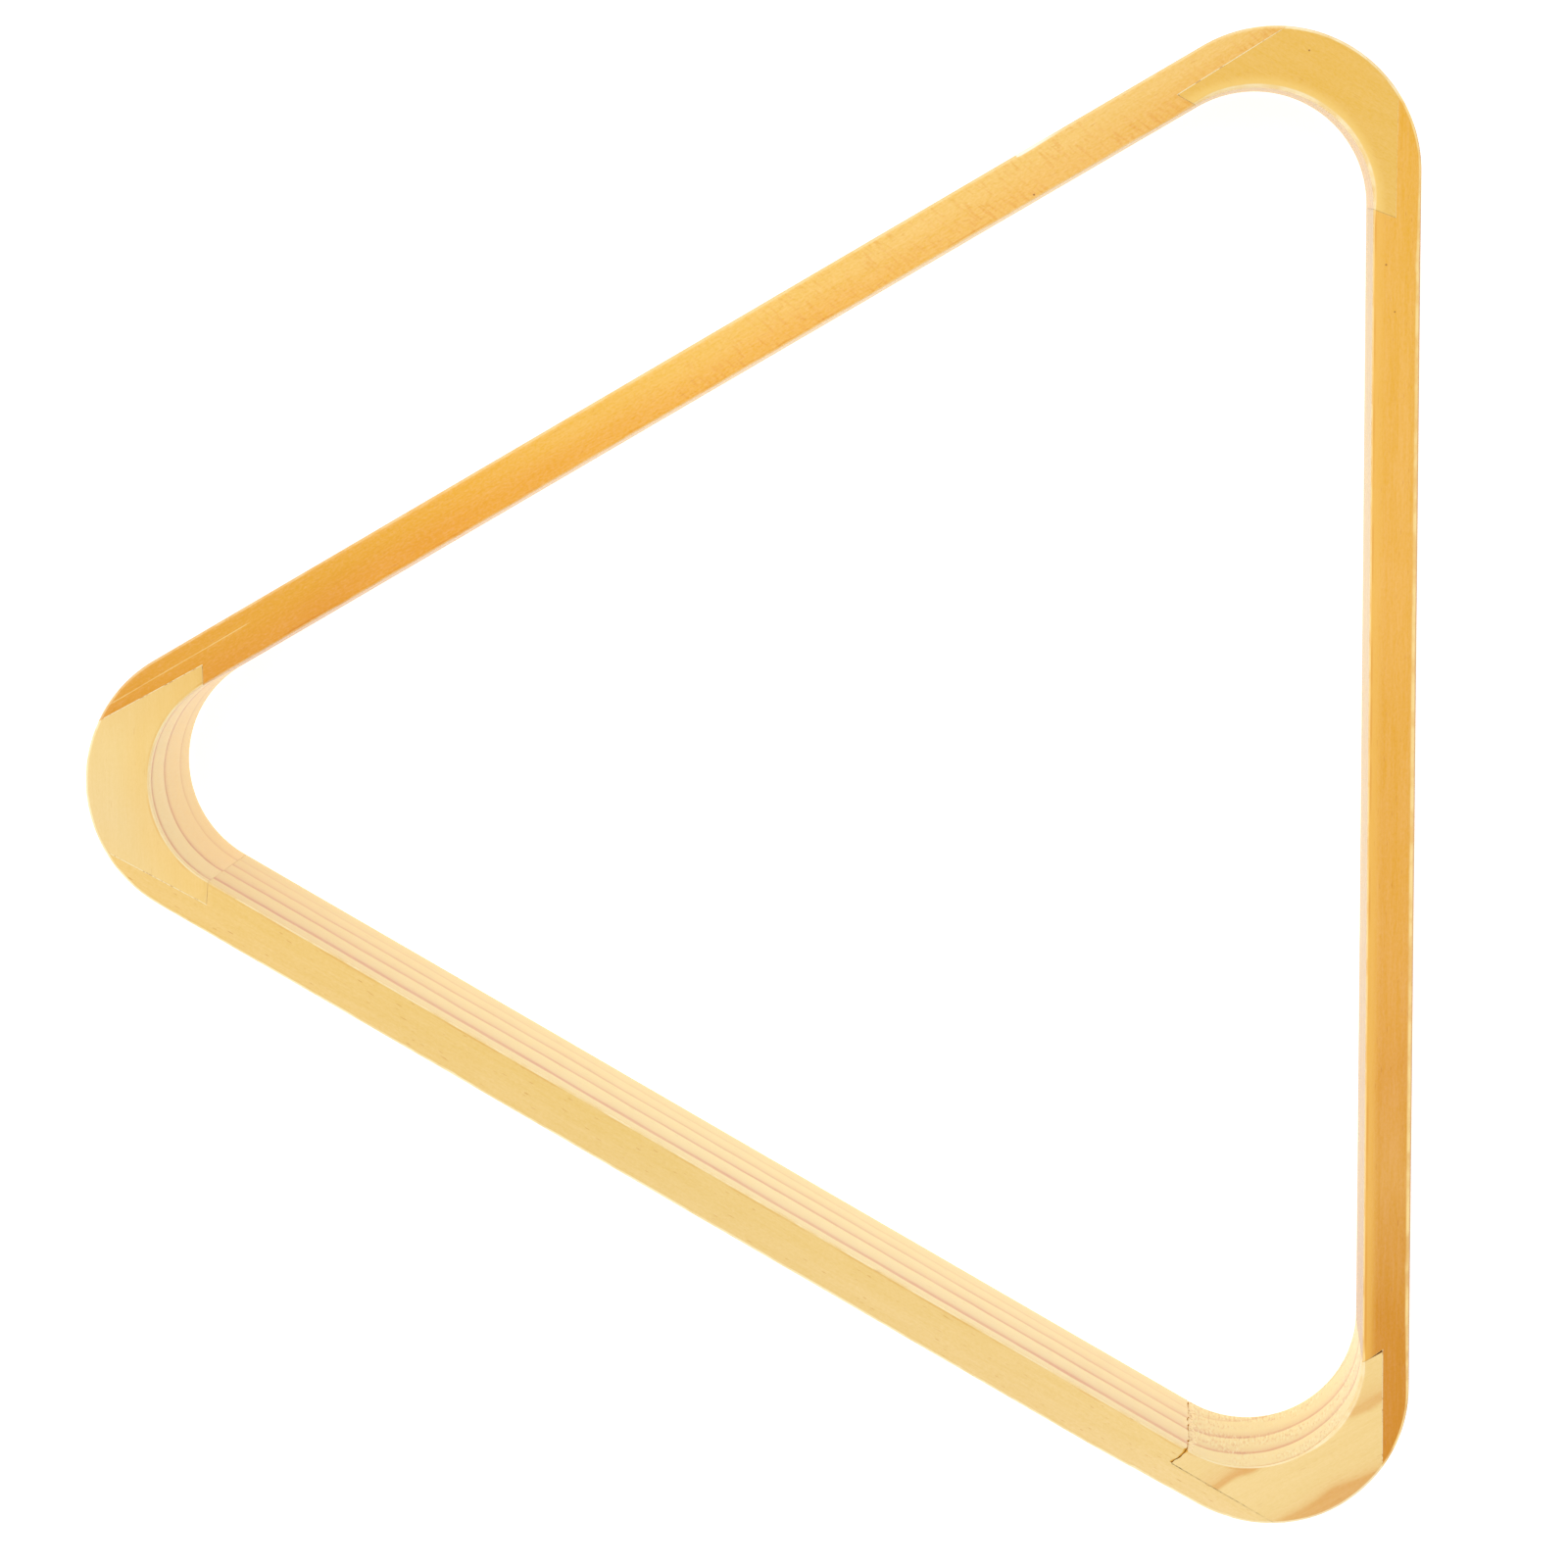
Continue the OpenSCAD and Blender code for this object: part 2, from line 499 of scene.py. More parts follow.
def carve(name, ring, corners, turn, materials):
    """Cuts one piece out of the ring, working in the board's own frame."""
    own = board_frame(turn)
    body = bpy.data.objects.new(name, ring.copy())
    bpy.context.scene.collection.objects.link(body)
    body.data.transform(own.inverted())
    cutter = bpy.data.objects.new(name + "_cutter", cutter_mesh(corners))
    bpy.context.scene.collection.objects.link(cutter)
    for material in materials:
        body.data.materials.append(material)
        cutter.data.materials.append(material)
    cut = body.modifiers.new("cut", "BOOLEAN")
    cut.operation = "INTERSECT"
    cut.solver = "MANIFOLD"
    cut.object = cutter
    bpy.context.view_layer.update()
    depsgraph = bpy.context.evaluated_depsgraph_get()
    mesh = bpy.data.meshes.new_from_object(body.evaluated_get(depsgraph))
    mesh.name = name
    body.modifiers.clear()
    body.data = mesh
    bpy.data.objects.remove(cutter)
    for polygon in mesh.polygons:
        polygon.use_smooth = True
    mesh.set_sharp_from_angle(angle=math.radians(30))
    mesh.transform(own)
    return body


# ---------------------------------------------------------------- the wood

class Nodes:
    """Short ways to add shader nodes to one material."""

    def __init__(self, name):
        self.material = bpy.data.materials.new(name)
        self.material.use_nodes = True
        self.tree = self.material.node_tree
        self.tree.nodes.clear()

    def add(self, kind):
        return self.tree.nodes.new(kind)

    def feed(self, socket, value):
        if isinstance(value, bpy.types.NodeSocket):
            self.tree.links.new(value, socket)
        else:
            socket.default_value = value

    def maths(self, operation, *values, clamp=False):
        node = self.add("ShaderNodeMath")
        node.operation = operation
        node.use_clamp = clamp
        for socket, value in zip(node.inputs, values):
            self.feed(socket, value)
        return node.outputs[0]

    def product(self, *shares):
        result = shares[0]
        for share in shares[1:]:
            result = self.maths("MULTIPLY", result, share)
        return result

    def length(self, one, two):
        squares = self.maths("ADD", self.maths("MULTIPLY", one, one), self.maths("MULTIPLY", two, two))
        return self.maths("SQRT", squares)

    def scale(self, vector, factors):
        node = self.add("ShaderNodeVectorMath")
        node.operation = "MULTIPLY"
        self.feed(node.inputs[0], vector)
        node.inputs[1].default_value = factors
        return node.outputs[0]

    def shift(self, vector, amounts):
        node = self.add("ShaderNodeVectorMath")
        node.operation = "ADD"
        self.feed(node.inputs[0], vector)
        node.inputs[1].default_value = amounts
        return node.outputs[0]

    def parts(self, vector):
        node = self.add("ShaderNodeSeparateXYZ")
        self.feed(node.inputs[0], vector)
        return node.outputs

    def joined(self, *values):
        node = self.add("ShaderNodeCombineXYZ")
        for socket, value in zip(node.inputs, values):
            self.feed(socket, value)
        return node.outputs[0]

    def noise(self, vector, detail=4.0, roughness=0.55):
        node = self.add("ShaderNodeTexNoise")
        node.noise_dimensions = "3D"
        self.feed(node.inputs["Vector"], vector)
        node.inputs["Scale"].default_value = 1.0
        node.inputs["Detail"].default_value = detail
        node.inputs["Roughness"].default_value = roughness
        return node.outputs["Fac"]

    def band(self, value, low, high, to_low=0.0, to_high=1.0, smooth=True):
        node = self.add("ShaderNodeMapRange")
        if smooth:
            node.interpolation_type = "SMOOTHSTEP"
        self.feed(node.inputs["Value"], value)
        node.inputs["From Min"].default_value = low
        node.inputs["From Max"].default_value = high
        node.inputs["To Min"].default_value = to_low
        node.inputs["To Max"].default_value = to_high
        return node.outputs["Result"]

    def mix(self, share, one, two, blend="MIX"):
        node = self.add("ShaderNodeMix")
        node.data_type = "RGBA"
        node.blend_type = blend
        self.feed(node.inputs["Factor"], share)
        colour_inputs = [socket for socket in node.inputs if socket.type == "RGBA"]
        for socket, value in zip(colour_inputs, (one, two)):
            if isinstance(value, tuple):
                value = (*value[:3], 1.0)
            self.feed(socket, value)
        return [socket for socket in node.outputs if socket.type == "RGBA"][0]

    def tinted(self, share, colour, tint):
        """The colour multiplied by a tint, by a share from 0 to 1."""
        return self.mix(share, colour, self.mix(1.0, colour, tint, "MULTIPLY"))

    def ramp(self, value, stops):
        node = self.add("ShaderNodeValToRGB")
        self.feed(node.inputs["Fac"], value)
        elements = node.color_ramp.elements
        while len(elements) > 1:
            elements.remove(elements[-1])
        elements[0].position = stops[0][0]
        elements[0].color = (*stops[0][1], 1.0)
        for position, colour in stops[1:]:
            element = elements.new(position)
            element.color = (*colour, 1.0)
        return node.outputs["Color"]

    def finish(self, shader, height, strength, distance):
        """Adds a bump to the shader and makes it the surface of the material."""
        bump = self.add("ShaderNodeBump")
        bump.inputs["Strength"].default_value = strength
        bump.inputs["Distance"].default_value = distance
        self.feed(bump.inputs["Height"], height)
        self.feed(shader.inputs["Normal"], bump.outputs["Normal"])
        out = self.add("ShaderNodeOutputMaterial")
        self.tree.links.new(shader.outputs["BSDF"], out.inputs["Surface"])
        return self.material


# What a level face gets from the studio light, and what its lacquer reflects, both as shares of white
LIGHT = 0.975
SHEEN = 0.05


def tone(red, green, blue):
    """The colour wood needs to show as this display colour on a level face under the studio light."""
    return tuple(max((value - SHEEN) / LIGHT, 0.004) for value in srgb(red, green, blue))


class Pine(Nodes):
    """Lacquered pine in the board's own frame: x along the board, y across it, z up.

    wood holds the colour so far and dents the depth of the marks so far.
    """

    def __init__(self, name, turn, seed, curved):
        super().__init__(name)
        self.seed = seed
        coords = self.add("ShaderNodeTexCoord")
        board = self.add("ShaderNodeVectorRotate")
        board.rotation_type = "Z_AXIS"
        self.feed(board.inputs["Vector"], coords.outputs["Object"])
        board.inputs["Center"].default_value = (0, MID_Y, 0)
        board.inputs["Angle"].default_value = -math.radians(turn)
        self.where = self.shift(board.outputs["Vector"], (0, -MID_Y, 0))
        self.x, self.y, self.z = self.parts(self.where)
        # upward is 1 on a face that looks up, -1 on one that looks down and 0 on an upright one
        self.upward = self.parts(coords.outputs["Normal"])[2]
        self.flatness = self.maths("ABSOLUTE", self.upward)
        self.depth = self.wall_depth(curved)
        self.cloud = self.grain((14, 50, 50), (seed, 2, seed), 2.0)
        self.quick = self.grain((60, 110, 110), (seed * 3, seed, 4), 2.0)
        self.fine_streak = self.grain((160, 2300, 2300), (seed, 3, 7), 3.0, 0.65)
        self.mottle = self.grain((1100, 2400, 2400), (5, seed, 1), 3.0, 0.65)

    def grain(self, scale, shift, detail, roughness=0.55):
        """Noise stretched along the board, with scale waves in a metre along x, y and z."""
        return self.noise(self.shift(self.scale(self.where, scale), shift), detail, roughness)

    def wall_depth(self, curved):
        """How deep in the wall a point lies, from the inner face outwards."""
        if not curved:
            return self.maths("SUBTRACT", -IN_D, self.y)
        aside = self.maths("ABSOLUTE", self.x)
        beyond = self.maths("SUBTRACT", self.y, IN_C)
        square_on = self.maths(
            "ADD", self.maths("MULTIPLY", aside, COS30), self.maths("MULTIPLY", beyond, 0.5)
        )
        round_by = self.maths(
            "SUBTRACT", self.maths("MULTIPLY", beyond, COS30), self.maths("MULTIPLY", aside, 0.5)
        )
        round_by = self.maths("MAXIMUM", round_by, 0.0)
        return self.maths("SUBTRACT", self.length(square_on, round_by), INNER_R)

    def tint(self, share, tint):
        self.wood = self.tinted(share, self.wood, tint)

    def paint(self, share, colour):
        self.wood = self.mix(share, self.wood, colour)

    def dent(self, depth):
        self.dents = self.maths("ADD", self.dents, depth)

    def clear_wood(self, clear):
        """The colour of the clear wood along the board, a little cloudy."""
        first, last = clear[0][0], clear[-1][0]
        along = self.band(self.x, first, last, smooth=False)
        cloudy = self.band(self.cloud, 0.2, 0.8, -0.07, 0.07, smooth=False)
        stops = [((place - first) / (last - first), colour) for place, colour in clear]
        self.wood = self.ramp(self.maths("ADD", along, cloudy), stops)

    def tint_inwards(self, tint):
        """Another tint towards the inner face."""
        inward = self.band(self.depth, WALL_T - 1.5 * MM, 1.2 * MM)
        self.tint(self.product(inward, self.band(self.cloud, 0.3, 0.6, 0.6, 1.0)), tint)

    def late_wood(self, level, lines):
        """Dark latewood, and a paler line just past it painted as the highlight on its raised edge, each 0
        to 1, against the level in metres.
        """
        low = lines[0][0] - lines[0][1] - 1
        high = lines[-1][0] + lines[-1][3] + 2
        stops = [(0.0, (0.5,) * 3)]
        for place, rise, dark, full in lines:
            profile = [
                (-rise, 0), (-0.45 * rise, 0.2), (-0.2, 0.6), (0, 1), (full, 1), (full + 0.4, -0.6),
            ]
            for offset, share in profile:
                stops.append(((place + offset - low) / (high - low), (0.5 + 0.5 * dark * share,) * 3))
        stops.append((1.0, (0.5,) * 3))
        value = self.ramp(self.band(level, low * MM, high * MM, smooth=False), stops)
        return self.band(value, 0.5, 1.0, smooth=False), self.band(value, 0.5, 0.0, smooth=False)

    def year_rings(self, lines, late, pith, drift):
        """Rings by level, or by distance from the pith, that wander by drift mm."""
        level = self.z
        if pith is not None:
            aside = self.maths("SUBTRACT", self.y, pith[0])
            above = self.maths("SUBTRACT", self.z, pith[1])
            level = self.length(aside, above)
        slow = self.grain((9, 12, 12), (self.seed, self.seed * 2, 0), 1.0)
        wander_slow = self.band(slow, 0.2, 0.8, -drift * MM, drift * MM, smooth=False)
        wander_quick = self.band(self.quick, 0.2, 0.8, -0.6 * MM, 0.6 * MM, smooth=False)
        level = self.maths("ADD", self.maths("ADD", level, wander_slow), wander_quick)
        dark, pale = self.late_wood(level, lines)
        patchy = self.grain((40, 300, 300), (3, self.seed, self.seed), 3.0)
        patchy = self.band(patchy, 0.3, 0.65, 0.7, 1.1, smooth=False)
        self.latewood = self.maths("MULTIPLY", dark, patchy, clamp=True)
        self.tint(self.latewood, late)
        # painted highlight: a paler line just past each latewood line
        self.tint(pale, (1.08, 1.12, 1.25))

    def fibres(self, streaks, speckle):
        """Streaks along the grain and fine mottling, strongest on level faces."""
        long_streak = self.grain((22, 500, 500), (self.seed, 9, 2), 3.0, 0.6)
        shade = self.maths(
            "ADD",
            self.band(long_streak, 0.25, 0.75, -0.025, 0.025, smooth=False),
            self.band(self.fine_streak, 0.25, 0.75, -0.03, 0.03, smooth=False),
        )
        grit = self.band(self.mottle, 0.25, 0.75, -0.10 * speckle, 0.10 * speckle, smooth=False)
        shade = self.maths("ADD", self.maths("MULTIPLY", shade, streaks), grit)
        shade = self.product(shade, self.band(self.flatness, 0.1, 0.4, 0.45, 1.0))
        hue = self.add("ShaderNodeHueSaturation")
        duller = self.maths("SUBTRACT", 1.0, self.maths("MULTIPLY", shade, 1.3))
        self.feed(hue.inputs["Value"], self.maths("ADD", shade, 1.0))
        self.feed(hue.inputs["Saturation"], duller)
        self.feed(hue.inputs["Color"], self.wood)
        self.wood = hue.outputs["Color"]

    def resin_flecks(self, strength):
        """Short dark dashes along the grain."""
        dash = self.band(self.grain((330, 2600, 2600), (self.seed, 1, 8), 1.0, 0.4), 0.70, 0.78)
        self.tint(self.product(dash, strength), srgb(218, 176, 118))
        self.dents = dash

    def saw_marks(self, strength):
        """Marks of the saw, slanting across the top face of one half of the board."""
        slant = self.maths("ADD", self.x, self.maths("MULTIPLY", self.y, 0.38))
        place = self.joined(
            self.maths("MULTIPLY", slant, 1300),
            self.maths("MULTIPLY", self.y, 260),
            self.maths("MULTIPLY", self.z, 40),
        )
        teeth = self.band(self.noise(place, 2.0, 0.6), 0.50, 0.66)
        patches = self.band(self.grain((45, 130, 130), (0, 0, 0), 2.0), 0.35, 0.6, 0.25, 1.0)
        half = self.band(self.x, 25 * MM, -20 * MM)
        teeth = self.product(teeth, half, patches, self.band(self.upward, 0.9, 0.99))
        self.tint(self.product(teeth, strength), srgb(240, 208, 150))
        self.dent(self.product(teeth, 0.6))

    def torn_fibres(self, strength):
        """Fibres torn by the cutter round the inner face of a corner: darker strokes, with paler ones
        painted as highlights on the raised fibres.
        """
        angle = self.maths("ARCTAN2", self.maths("SUBTRACT", self.y, IN_C), self.x)
        place = self.joined(self.maths("MULTIPLY", angle, 50), self.maths("MULTIPLY", self.z, 280))
        torn = self.noise(place, 3.0, 0.65)
        field = self.band(self.grain((60, 60, 110), (self.seed, 0, 0), 2.0), 0.42, 0.6)
        inner_face = self.product(
            self.band(self.depth, 0.5 * MM, 0.3 * MM), self.band(self.flatness, 0.3, 0.1)
        )
        field = self.product(field, inner_face, strength)
        fuzz = self.product(self.band(torn, 0.50, 0.66), field)
        self.tint(self.product(fuzz, 0.5), srgb(236, 200, 150))
        # painted highlights on the raised fibres
        gleam = self.product(self.band(torn, 0.46, 0.34), field)
        self.paint(self.product(gleam, 0.35), srgb(254, 240, 200))
        self.dent(fuzz)

    def pit(self, x, y, z, radius):
        """A small dark pit. All four sizes are in mm."""
        gap = self.add("ShaderNodeVectorMath")
        gap.operation = "DISTANCE"
        self.feed(gap.inputs[0], self.where)
        gap.inputs[1].default_value = (x * MM, y * MM, z * MM)
        dot = self.band(gap.outputs["Value"], radius * MM, radius * 0.4 * MM)
        self.paint(self.product(dot, 0.8), srgb(150, 84, 30))
        self.dent(dot)

    def scribed_line(self, start, end, y):
        """A pale line scribed along the board at y, in mm."""
        away = self.maths("ABSOLUTE", self.maths("SUBTRACT", self.y, y * MM))
        line = self.product(
            self.band(away, 0.16 * MM, 0.06 * MM),
            self.band(self.x, start * MM, (start + 3) * MM),
            self.band(self.x, end * MM, (end - 2) * MM),
            self.band(self.fine_streak, 0.35, 0.5, 0.4, 1.0),
        )
        self.paint(self.product(line, 0.75), tone(250, 214, 140))
        self.dent(line)

    def paint_upright_light(self, tint, low_tint):
        """Painted light: the upright faces are tinted against the top for how they are lit, and their
        lower part gets a further tint.
        """
        upright = self.band(self.flatness, 0.4, 0.1)
        self.tint(upright, tint)
        if low_tint is not None:
            self.tint(self.product(upright, self.band(self.z, 31 * MM, 26 * MM)), low_tint)

    def paint_inner_highlight(self, colour):
        """Painted highlight: paler colour on top beside the inner edge, where the rounded edge catches
        light.
        """
        near = self.product(self.band(self.depth, 3.2 * MM, 1.0 * MM), self.band(self.upward, 0.3, 0.9))
        self.paint(self.product(near, 0.7), colour)

    def darker_line_by_inner_edge(self):
        """A thin darker line, in patches, on the top just beside the inner top edge."""
        inner_dark_line = self.product(
            self.band(self.depth, 0.35 * MM, 0.5 * MM),
            self.band(self.depth, 0.9 * MM, 0.6 * MM),
            self.band(self.upward, 0.9, 0.99),
            self.band(self.quick, 0.42, 0.6, 0.0, 0.5),
        )
        self.tint(inner_dark_line, srgb(236, 206, 150))

    def paint_worn_highlit_edges(self, wear_and_highlight, colour):
        """Paler sanded edges: partly wear, partly a painted highlight where the rounded edges catch light.
        """
        patch = self.grain((170, 170, 170), (2, 2, self.seed), 3.0)
        self.worn_highlit = self.product(
            self.band(self.flatness, 0.10, 0.35),
            self.band(self.flatness, 0.90, 0.995, 1.0, 0.0),
            self.band(patch, 0.35, 0.6, 0.45 * wear_and_highlight, wear_and_highlight),
        )
        self.paint(self.worn_highlit, colour)

    def paint_rim_shade(self, strength):
        """Painted shade: a thin dark line where the outer top edge turns down into shade."""
        shaded_brink = self.product(
            self.band(self.flatness, 0.70, 0.45),
            self.band(self.upward, 0.02, 0.08),
            self.band(self.depth, WALL_T - 2 * MM, WALL_T - 1.5 * MM),
        )
        self.paint(self.product(shaded_brink, strength), srgb(196, 132, 54))

    def chipped_edge(self, start, end):
        """Bare wood where the outer top edge has chipped, from start to end in mm."""
        bare = self.product(
            self.band(self.x, start * MM, (start + 10) * MM),
            self.band(self.x, end * MM, (end - 0.4) * MM),
            self.band(self.depth, WALL_T - 3 * MM, WALL_T - 2 * MM),
            self.band(self.flatness, 0.96, 0.86),
            self.band(self.upward, 0.25, 0.40),
        )
        self.paint(bare, srgb(255, 247, 222))

    def lacquered(self):
        """The finished material: satin lacquer over the wood."""
        shader = self.add("ShaderNodeBsdfPrincipled")
        self.feed(shader.inputs["Base Color"], self.wood)
        satin = self.band(self.mottle, 0.3, 0.7, 0.42, 0.52)
        rough = self.maths("ADD", satin, self.product(self.worn_highlit, 0.12))
        self.feed(shader.inputs["Roughness"], rough)
        shader.inputs["Specular IOR Level"].default_value = 0.3
        shader.inputs["Coat Weight"].default_value = 0.5
        shader.inputs["Coat Roughness"].default_value = 0.2
        shader.inputs["Coat IOR"].default_value = 1.48
        height = self.maths("ADD", self.product(self.fine_streak, 0.5), self.product(self.mottle, 0.4))
        height = self.maths("ADD", height, self.product(self.latewood, 0.4))
        height = self.maths("SUBTRACT", height, self.product(self.dents, 0.7))
        return self.finish(shader, height, 0.4, 0.08 * MM)


def make_pine(name, node, clear, late, lines, pith=None, seed=0.0, drift=2.5, fibre=1.0, speckle=0.5,
              fleck=0.4, saw=0.0, inner_tint=None, milled=0.0, pits=(), scribe=None, chip=None,
              upright_light_tint=(0.84, 0.93, 1.0), side_low=None, edge_wear_and_highlight=0.95,
              edge_colour=srgb(254, 236, 188), rim_shade=0.0, inner_highlight=None):
    """The pine of one piece, which node tells.

    clear: (place along the board in metres, colour) stops; late: tint of the latewood;
    lines: (level, width of the rise, darkness, width at full darkness) of the latewood, in mm,
    by height, or by distance from the pith (y, z) when one is given; drift: how far they wander, in mm;
    pits: (x, y, z, radius); scribe: (from, to, y); chip: (from, to), all in mm along the board;
    fibre, speckle, fleck, saw, milled, the edge wear and the rim: how strong these marks are; the pale
    edges are partly wear and partly a painted highlight, the dark rim is painted shade, the side tints
    paint how the upright faces are lit, and the colour for the paler band beside the inner edge is a
    painted highlight.
    """
    pine = Pine(name, TURNS[node], seed, node in RAILS_OF)
    pine.clear_wood(clear)
    if inner_tint is not None:
        pine.tint_inwards(inner_tint)
    pine.year_rings(lines, late, pith, drift)
    pine.fibres(fibre, speckle)
    pine.resin_flecks(fleck)
    if saw:
        pine.saw_marks(saw)
    if milled:
        pine.torn_fibres(milled)
    for pit in pits:
        pine.pit(*pit)
    if scribe is not None:
        pine.scribed_line(*scribe)
    # painted light: the upright faces are tinted for how they are lit
    pine.paint_upright_light(upright_light_tint, side_low)
    # a painted highlight beside the inner edge
    if inner_highlight is not None:
        pine.paint_inner_highlight(inner_highlight)
    pine.darker_line_by_inner_edge()
    # pale edges: partly wear, partly a painted highlight
    pine.paint_worn_highlit_edges(edge_wear_and_highlight, edge_colour)
    # painted shade on the steep outer rounding
    if rim_shade:
        pine.paint_rim_shade(rim_shade)
    if chip is not None:
        pine.chipped_edge(*chip)
    return pine.lacquered()


def make_plain_wood(name, pale, dark, specks, size):
    """Bare or glued wood without rings: pale, with darker specks, size of them in a metre."""
    n = Nodes(name)
    where = n.add("ShaderNodeTexCoord").outputs["Object"]
    coarse = n.noise(n.scale(where, (size, size, size)), 3.0, 0.6)
    fine = n.noise(n.scale(where, (size * 5, size * 5, size * 2)), 3.0, 0.6)
    colour = n.mix(n.product(n.band(coarse, 0.52, 0.64), specks), pale, dark)
    colour = n.tinted(n.band(fine, 0.35, 0.7, 0.0, 0.35), colour, srgb(235, 215, 190))
    shader = n.add("ShaderNodeBsdfPrincipled")
    n.feed(shader.inputs["Base Color"], colour)
    n.feed(shader.inputs["Roughness"], n.band(fine, 0.3, 0.7, 0.45, 0.7))
    return n.finish(shader, fine, 0.5, 0.1 * MM)


# ---------------------------------------------------------------- the six pieces

# Each wood is known by its place along the board in mm and its display colour there
def along_board(*stops):
    return [(place * MM, tone(*colour)) for place, colour in stops]


PALE_LATE = srgb(224, 166, 100)
WOODS = {
    "rail_base": make_pine(
        "pine_base", "rail_base",
        along_board(
            (-150, (217, 148, 62)), (-112, (220, 154, 72)), (-90, (232, 174, 94)), (-60, (230, 167, 84)),
            (-30, (237, 177, 92)), (0, (238, 179, 86)), (40, (244, 187, 98)), (90, (242, 186, 90)),
            (150, (241, 185, 88)),
        ),
        PALE_LATE, [(-6, 3, 0.3, 0.3), (9, 3, 0.3, 0.3), (21, 3, 0.35, 0.4), (33, 3, 0.35, 0.4)],
        seed=1.3, fibre=0.9, speckle=0.3, pits=((110.4, -98.1, 45, 0.3), (100.6, -100, 45, 0.25)),
        upright_light_tint=(0.64, 0.76, 0.66), rim_shade=0.9, inner_highlight=tone(248, 196, 104), edge_wear_and_highlight=1.0,
        edge_colour=srgb(255, 222, 146),
    ),
    "rail_right": make_pine(
        "pine_right", "rail_right",
        along_board(
            (-150, (244, 200, 118)), (-90, (251, 208, 126)), (-30, (251, 204, 114)), (0, (250, 200, 104)),
            (60, (244, 183, 82)), (90, (236, 174, 74)), (150, (226, 160, 62)),
        ),
        PALE_LATE, [(-6, 3, 0.3, 0.3), (10, 3, 0.3, 0.3), (22, 3, 0.3, 0.4), (34, 3, 0.3, 0.4)],
        seed=4.1, fibre=0.6, speckle=0.55, fleck=0.3, saw=0.4, inner_tint=(0.97, 0.83, 0.58),
        pits=((-83.9, -96.2, 45, 0.3),), scribe=(106, 143, -101.9), chip=(-98, -84.5),
        upright_light_tint=(0.75, 0.84, 0.61), edge_wear_and_highlight=0.4, rim_shade=0.5,
    ),
    "rail_left": make_pine(
        "pine_left", "rail_left",
        along_board(
            (-150, (243, 205, 130)), (0, (242, 209, 140)), (90, (246, 213, 148)), (150, (250, 219, 158)),
        ),
        srgb(226, 162, 96),
        [(-5, 3, 0.4, 0.3), (8, 3, 0.3, 0.5), (16, 4, 0.7, 0.9), (26, 4.5, 0.85, 1.1),
         (37.5, 4.5, 0.95, 2)],
        seed=7.7, fibre=0.8, speckle=0.35, fleck=0.6, drift=1.6, inner_tint=(0.99, 0.98, 0.88),
        upright_light_tint=(0.92, 0.99, 0.95),
    ),
    "block_apex": make_pine(
        "pine_apex", "block_apex",
        along_board(
            (-60, (244, 209, 138)), (-25, (245, 211, 140)), (-8, (243, 213, 152)), (8, (244, 213, 146)),
            (28, (239, 200, 124)), (60, (236, 196, 120)),
        ),
        srgb(218, 160, 82),
        [(-4, 3, 0.4, 0.3), (10.5, 3, 0.4, 0.7), (28, 3, 0.95, 1.0), (42, 2.5, 0.95, 1.0)],
        seed=2.9, drift=0.8, fibre=0.4, speckle=0.2, fleck=0.15, milled=0.2,
        inner_tint=(1.0, 0.94, 0.76), upright_light_tint=(0.92, 1.01, 1.04), side_low=(1.03, 0.96, 0.84),
    ),
    "block_left": make_pine(
        "pine_block_left", "block_left",
        along_board((-60, (246, 213, 144)), (60, (249, 219, 156))),
        srgb(228, 170, 76),
        [(47, 3, 0.4, 0.4), (59, 4, 0.95, 1.0), (70.7, 4, 1.0, 1.0), (82, 1.8, 0.52, 0.4),
         (88.5, 1.8, 0.56, 2.4)],
        pith=(130 * MM, -30 * MM), seed=5.9, drift=0.25, fibre=0.5, speckle=0.25, fleck=0.2,
        milled=1.7, upright_light_tint=(0.89, 0.95, 0.75), rim_shade=0.3,
    ),
    "block_right": make_pine(
        "pine_block_right", "block_right",
        along_board((-60, (241, 197, 112)), (0, (240, 194, 102)), (60, (240, 199, 116))),
        PALE_LATE, [(-4, 3, 0.4, 0.3), (12, 3, 0.6, 0.6), (26, 3, 0.75, 0.8), (37.5, 3, 0.75, 0.8)],
        seed=8.3, drift=0.8, fibre=0.5, speckle=0.35, fleck=0.15, milled=0.3,
        pits=((-6.6, 175, 45, 0.28),), upright_light_tint=(0.79, 0.81, 0.54), side_low=(1.0, 0.96, 0.84),
        rim_shade=0.5, inner_highlight=tone(252, 214, 130),
    ),
}
GLUE = make_plain_wood("glue_line", srgb(252, 234, 184), srgb(190, 130, 60), 0.7, 900)
BARE = make_plain_wood("cut_wood", srgb(236, 194, 120), srgb(150, 100, 40), 0.5, 700)
SPLIT = make_plain_wood("split_wood", srgb(240, 192, 84), srgb(156, 104, 20), 0.7, 1300)

NAMES = {
    "rail_base": "board_base", "rail_right": "board_right", "rail_left": "board_left",
    "block_apex": "corner_apex", "block_left": "corner_left", "block_right": "corner_right",
}
ring = ring_mesh()
for node, name in NAMES.items():
    corners = rail_outline(node) if node in BLOCKS_OF else block_outline(node)
    piece = carve(name, ring, corners, TURNS[node], (WOODS[node], GLUE, BARE, SPLIT))
    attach(piece, "root")
    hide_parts(node)


# ---------------------------------------------------------------- floor, light and camera

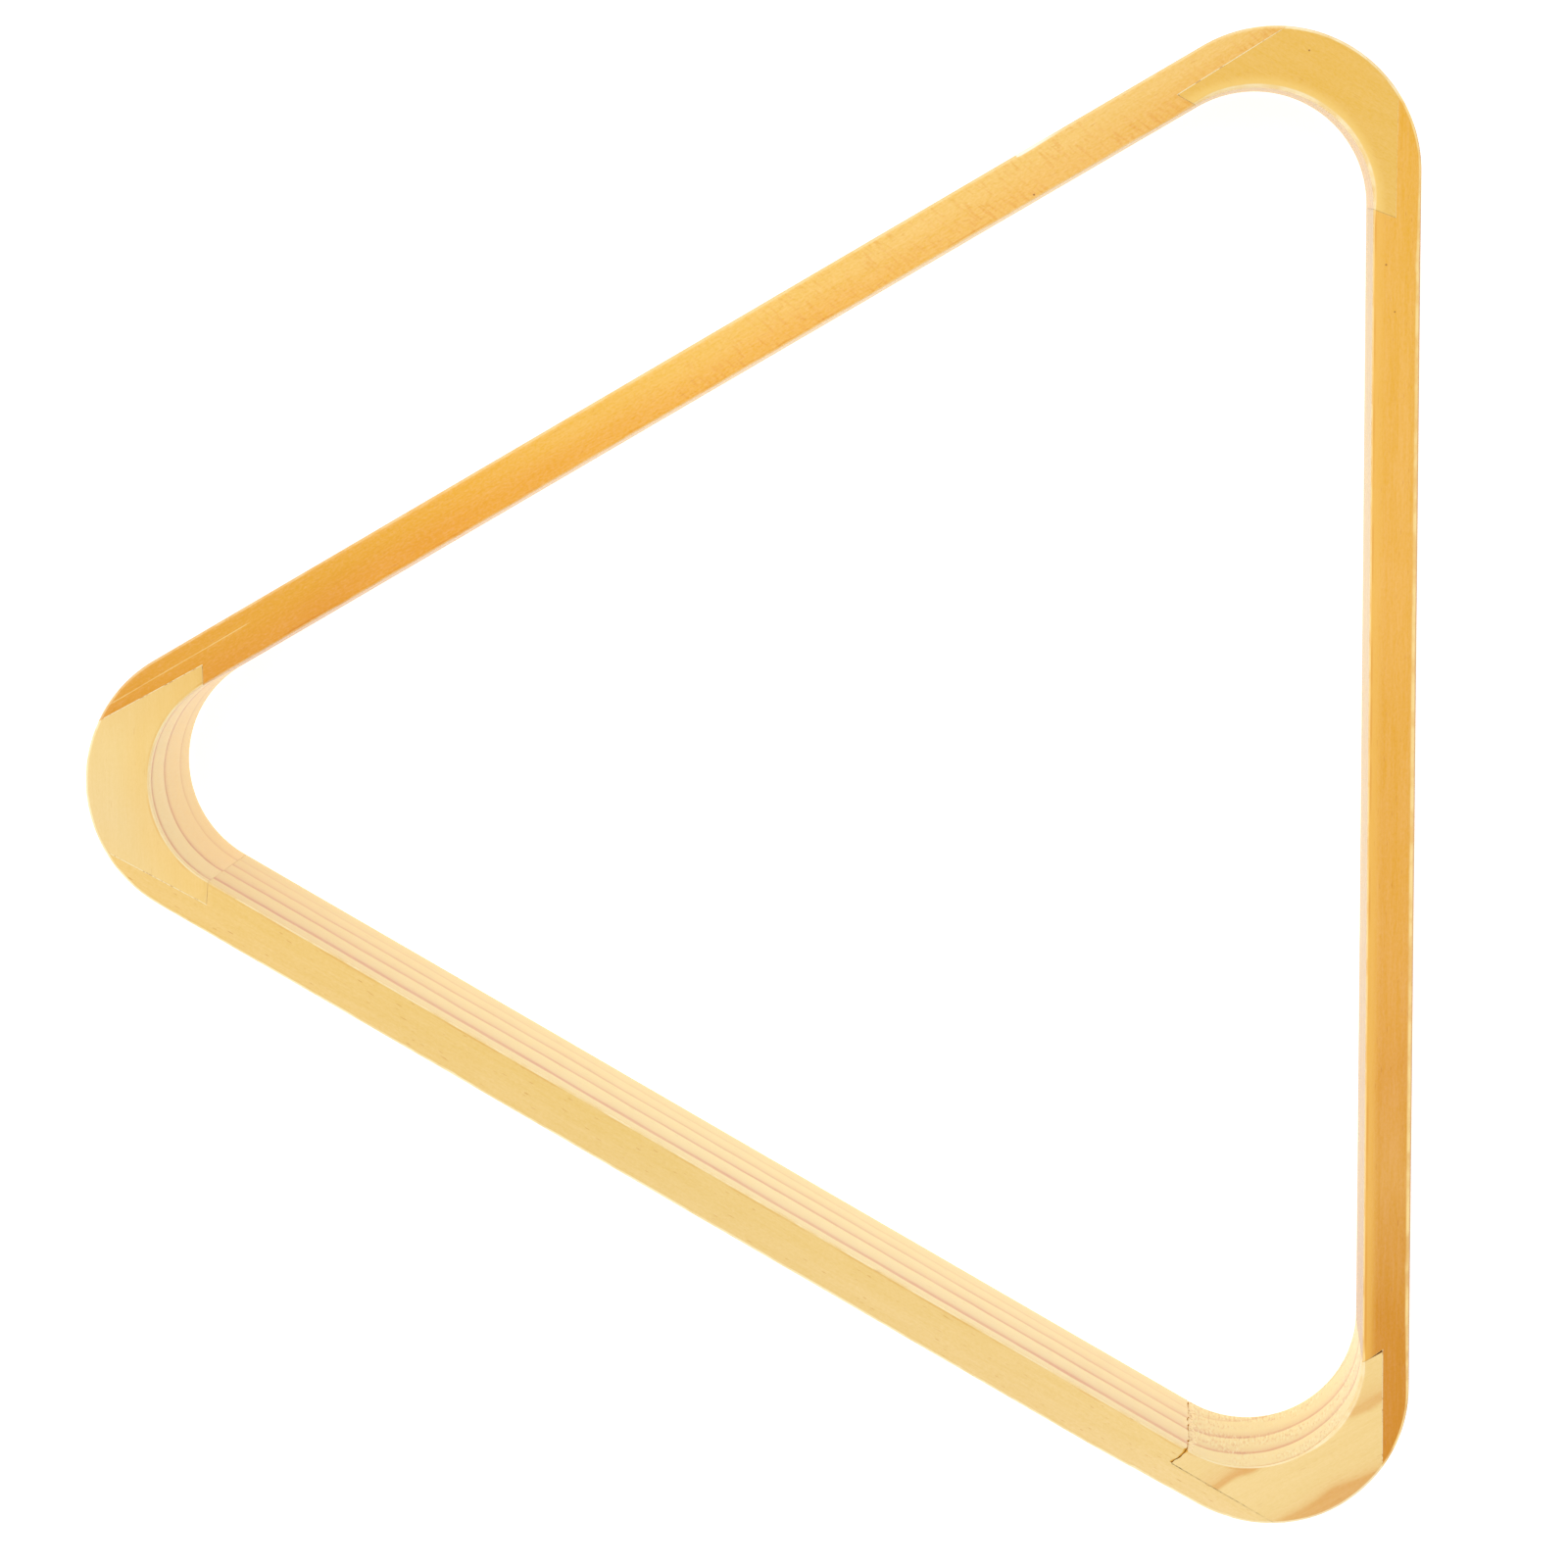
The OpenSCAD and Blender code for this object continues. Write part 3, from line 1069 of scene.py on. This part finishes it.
def flat_square(name, half, height):
    """A level square about the origin that reaches half to each side."""
    bm = bmesh.new()
    corners = [(-half, -half), (half, -half), (half, half), (-half, half)]
    bm.faces.new([bm.verts.new((x, y, height)) for x, y in corners])
    mesh = bpy.data.meshes.new(name)
    bm.to_mesh(mesh)
    bm.free()
    made = bpy.data.objects.new(name, mesh)
    bpy.context.scene.collection.objects.link(made)
    return made


floor = flat_square("floor", half=3.0, height=-0.0002)
pale = Nodes("pale_floor")
paper = pale.add("ShaderNodeBsdfPrincipled")
paper.inputs["Base Color"].default_value = (0.74, 0.74, 0.74, 1)
paper.inputs["Roughness"].default_value = 0.9
paper.inputs["Specular IOR Level"].default_value = 0.1
paper.inputs["Emission Color"].default_value = (1, 1, 1, 1)
paper.inputs["Emission Strength"].default_value = 0.72
paper_out = pale.add("ShaderNodeOutputMaterial")
pale.tree.links.new(paper.outputs["BSDF"], paper_out.inputs["Surface"])
floor.data.materials.append(pale.material)

world = bpy.data.worlds.new("studio")
bpy.context.scene.world = world
world.use_nodes = True
sky = world.node_tree.nodes["Background"]
sky.inputs["Color"].default_value = (1, 1, 1, 1)
sky.inputs["Strength"].default_value = 0.85


def soft_light(name, place, size, power):
    """A square light of a size in metres and a power in watts, facing the origin."""
    lamp = bpy.data.lights.new(name, "AREA")
    lamp.shape = "SQUARE"
    lamp.size = size
    lamp.energy = power
    made = bpy.data.objects.new(name, lamp)
    made.location = place
    made.rotation_euler = Vector(place).to_track_quat("Z", "Y").to_euler()
    bpy.context.scene.collection.objects.link(made)


soft_light("overhead", (0.5, 0.9, 1.6), size=1.6, power=9)

# The camera looks almost straight down, with the X axis nearly upward in the picture
camera_data = bpy.data.cameras.new("camera")
camera_data.lens = 115.4
camera_data.sensor_width = 36
camera = bpy.data.objects.new("camera", camera_data)
camera.location = (127.8 * MM, -95.2 * MM, 1107.3 * MM)
aim = Vector((-0.1186, 0.0805, -0.9897)).normalized()
up = Vector((0.9929, 0.0051, -0.1186))
right = aim.cross(up).normalized()
up = right.cross(aim).normalized()
camera.rotation_euler = Matrix((right, up, -aim)).transposed().to_euler()
bpy.context.scene.collection.objects.link(camera)
bpy.context.scene.camera = camera
bpy.context.scene.view_settings.view_transform = "Standard"
